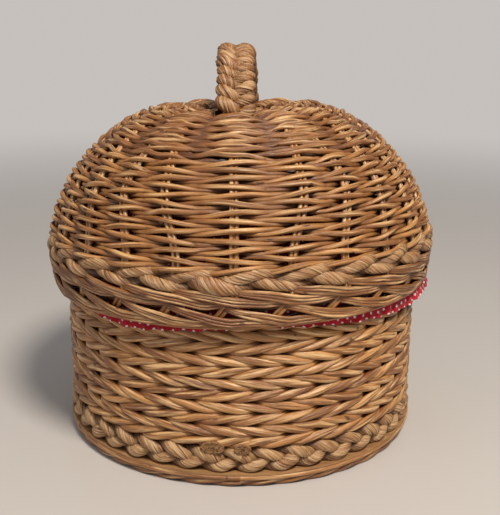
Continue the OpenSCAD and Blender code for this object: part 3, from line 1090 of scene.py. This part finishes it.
def fat_strand(u, height):
    """How thick a strand is. height is 1 at the top of its swing and -1 at the bottom."""
    azimuth = (u * 360 + 180) % 360 - 180
    near = np.exp(-((azimuth - fat_at) / fat_width) ** 2)
    thin = np.exp(-((azimuth - thin_at) / thin_width) ** 2)
    return 1 + fat_more * near * (height < 0.2) - thin_less * thin * (height > 0)


lid_plait = dict(
    swings=8, middle=35.6 * mm, swing=4.9 * mm, reach=2.9 * mm, half=lid_half, lobe_at=9.0, side=1,
    lay=36 * mm, tones=(0.15, 0.5), swell=fat_strand)
strands = ring_plait(at_lid_plait, lid_plait, lid_plait_rng)
husk_piece("lid_plait", strands, lid_section, lid_press, "lid", "lid_husk_plait")

# %% [markdown]
# ## The handle
#
# Two bent rods make the core. A plait of fatter husk covers them, and two
# pegs under the crown lock their ends.

# %% Handle
handle_rng = np.random.default_rng(25)
arch_r, arch_z = 60.2 * mm, 251.85 * mm
foot_angle = 15.0
grip_half, grip_reach, grip_swing = 5.0 * mm, 3.2 * mm, 10.4 * mm
grip_turns, grip_start = 5.67, 0.4
grip_lay = 30 * mm
grip_press = 0.92
flare, flare_long = 0.18, 0.06
grip_section = creased_section(9, 0.20, 40, handle_rng)
core_half, core_apart = 3.2 * mm, 7.5 * mm
peg_half = 1.6 * mm


def on_arch(angle, x, outward):
    """A point near the handle's arch. The angle starts at the front and is in degrees."""
    angle = np.radians(angle)
    return tilted(x, -(arch_r + outward) * np.cos(angle), arch_z + (arch_r + outward) * np.sin(angle))


angle = np.linspace(foot_angle, 180 - foot_angle, 420)
far = (angle - foot_angle) / (180 - 2 * foot_angle)
wider = 1 + flare * np.exp(-far / flare_long) + flare * np.exp(-(1 - far) / flare_long)
grip = []
for strand in range(3):
    turn = tau * (grip_turns * far + strand / 3) + grip_start
    x = grip_swing * np.sin(turn) * wider + 0.5 * mm * np.sin(9 * far + 1)
    lumps = np.interp(far, np.linspace(0, 1, 26), handle_rng.normal(0, 0.09, 26))
    outward = grip_reach * np.sin(2 * turn) + 3 * mm * lumps - 0.13 * x
    points = on_arch(angle, x, outward)
    way = unit(on_arch(angle, x, outward + 1 * mm) - points)
    tilt = twist(points, grip_lay, handle_rng)
    tone = handle_rng.uniform(0, 0.2)
    # How far the strand lies out sets its painted highlight and painted shade.
    grip.append(rod(points, grip_half * (1 + lumps), np.sin(2 * turn) + lumps, tone, False, tilt, way))
husk_piece("handle_plait", grip, grip_section, grip_press, "lid", "handle_grip")

core = [rod(on_arch(np.linspace(-1, 181, 90), x, 0), core_half, 0.2, 0.4, closed=False)
        for x in (-core_apart, core_apart)]
willow_piece("handle_core_rods", core, "lid", "handle_core")
low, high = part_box("handle_pegs")
x = np.linspace(low.x, high.x, 8)
z = low.z + 1.7 * mm + 0.3 * (high.z - low.z) * (x - low.x) / (high.x - low.x)
pegs = [rod(points_of(x, y, z), peg_half, 0.2, 0.6, closed=False)
        for y in (low.y + 2 * mm, high.y - 2 * mm)]
willow_piece("handle_locking_pegs", pegs, "lid", "handle_pegs")

# %% [markdown]
# ## The cloth
#
# The liner is sewn from three flat cuts: a round bottom, a strip that goes up
# the wall and over the rim, and a gathered collar outside. The UV of each is
# the flat cut in metres, so the dots keep their size in the folds.

# %% Bag
cloth_rng = np.random.default_rng(31)
bag_r = 133.0 * mm
over_r = wall_r + 0.6 * mm
bag_low = heights("base_board")[1]
bag_high = heights("basket_rim_border")[1] + 0.8 * mm
seam_up = 1.2 * mm
deep_fold, slow_deep_fold = 2.4 * mm, 1.6 * mm
around = np.linspace(0, tau, 541)


def folds(turn, count, rng):
    """Soft folds of uneven width, from 0 to 1."""
    uneven = sum(rng.normal(0, 0.5) / count * np.sin(wave * turn + rng.uniform(0, 6)) for wave in range(1, 5))
    return 0.5 + 0.5 * np.cos(count * (turn + uneven))


wall_fold = folds(around, 34, cloth_rng)
slow_fold = folds(around, 9, cloth_rng)
share = np.concatenate([np.linspace(0, 0.9, 22), np.linspace(0.925, 1, 4)])[:, None]
loose = np.sin(np.pi * share) ** 0.7
inside = round_at(bag_r - loose * (deep_fold * wall_fold + slow_deep_fold * slow_fold), around,
                  bag_low + seam_up + share * (bag_high - bag_low - seam_up))
bend = np.linspace(0, np.pi, 8)[1:, None]
end_drop = np.array([0, 0, 0, 0, 0, 0, 1.0 * mm])[:, None]
folded_over = round_at((bag_r + over_r) / 2 - (over_r - bag_r) / 2 * np.cos(bend), around,
                       bag_high + (0.2 * mm + 0.8 * mm * wall_fold) * np.sin(bend) - end_drop)
strip = np.concatenate([inside, folded_over])
down = travelled(strip)
bag_turn = travelled(strip[8])[-1]
flat = points_of(around / tau * bag_turn, down[:, None])
bag_wall = piece("liner_wall", grid_mesh("liner_wall", strip, flat), "basket", "cloth", "liner_bag")

share = np.linspace(0.02, 1, 26)[:, None]
crease = folds(around, 5, cloth_rng) * folds(around, 3, cloth_rng)
disc = round_at(share * bag_r, around, bag_low + 0.6 * mm + 1.6 * mm * crease * np.sin(share * 7) ** 2 * share)
bag_floor = piece("liner_floor", grid_mesh("liner_floor", disc, disc[..., :2]), "basket", "cloth")

# %% [markdown]
# ## The collar
#
# The collar is cut longer than the rim is round, so its hem waves. The hem's
# line follows the photograph: low at the left front, under the lid at the
# middle, and pushed out at the right. Its pairs are an azimuth in degrees and
# the hem's height there in millimetres.

# %% Collar
hem_line = [(-180, 121), (-120, 120), (-70, 122), (-48, 122.2), (-41, 120), (-35, 119.2), (-29, 119.4),
            (-24, 121), (-18, 122.5), (-11, 124.1), (-4, 125.6), (5, 128), (10, 127.1), (19, 125.9),
            (25, 124.9), (31, 123.7), (44, 122), (55, 121.3), (70, 123.5), (90, 126), (120, 122), (180, 121)]
pushed_at, pushed_width, pushed_out = 82, 24, 7.6 * mm
flare_from = 0.55
azimuth = np.linspace(-180, 180, 1081)
turn = np.radians(azimuth)
collar_fold = 0.6 * folds(turn, 84, cloth_rng) + 0.4 * folds(turn, 61, cloth_rng)
hem = np.interp(azimuth, *np.array(hem_line).T) * mm
hem = hem + 0.9 * mm * (folds(turn, 47, cloth_rng) - 0.5) + 0.5 * mm * (folds(turn, 111, cloth_rng) - 0.5)
hem[-1] = hem[0]
pushed = np.exp(-((azimuth - pushed_at) / pushed_width) ** 2)
collar_top = heights("liner_collar")[1] - 0.4 * mm
share = np.concatenate([np.linspace(0, 0.85, 12), np.linspace(0.88, 1, 6)])[:, None]
low_part = np.maximum(0, (share - flare_from) / (1 - flare_from))
out = 0.9 * mm + 2.0 * mm * (0.3 * share + low_part) * collar_fold + pushed_out * pushed * low_part ** 0.8
collar = round_at(over_r + out, turn, collar_top + (hem - collar_top) * share)
collar[:, -1] = collar[:, 0]
hem_long = travelled(collar[-1])[-1]
drop = travelled(collar)
flat = points_of((turn / tau + 0.5) * hem_long, drop[:, None])
collar_piece = piece("liner_frill", grid_mesh("liner_frill", collar, flat), "basket", "cloth", "liner_collar")
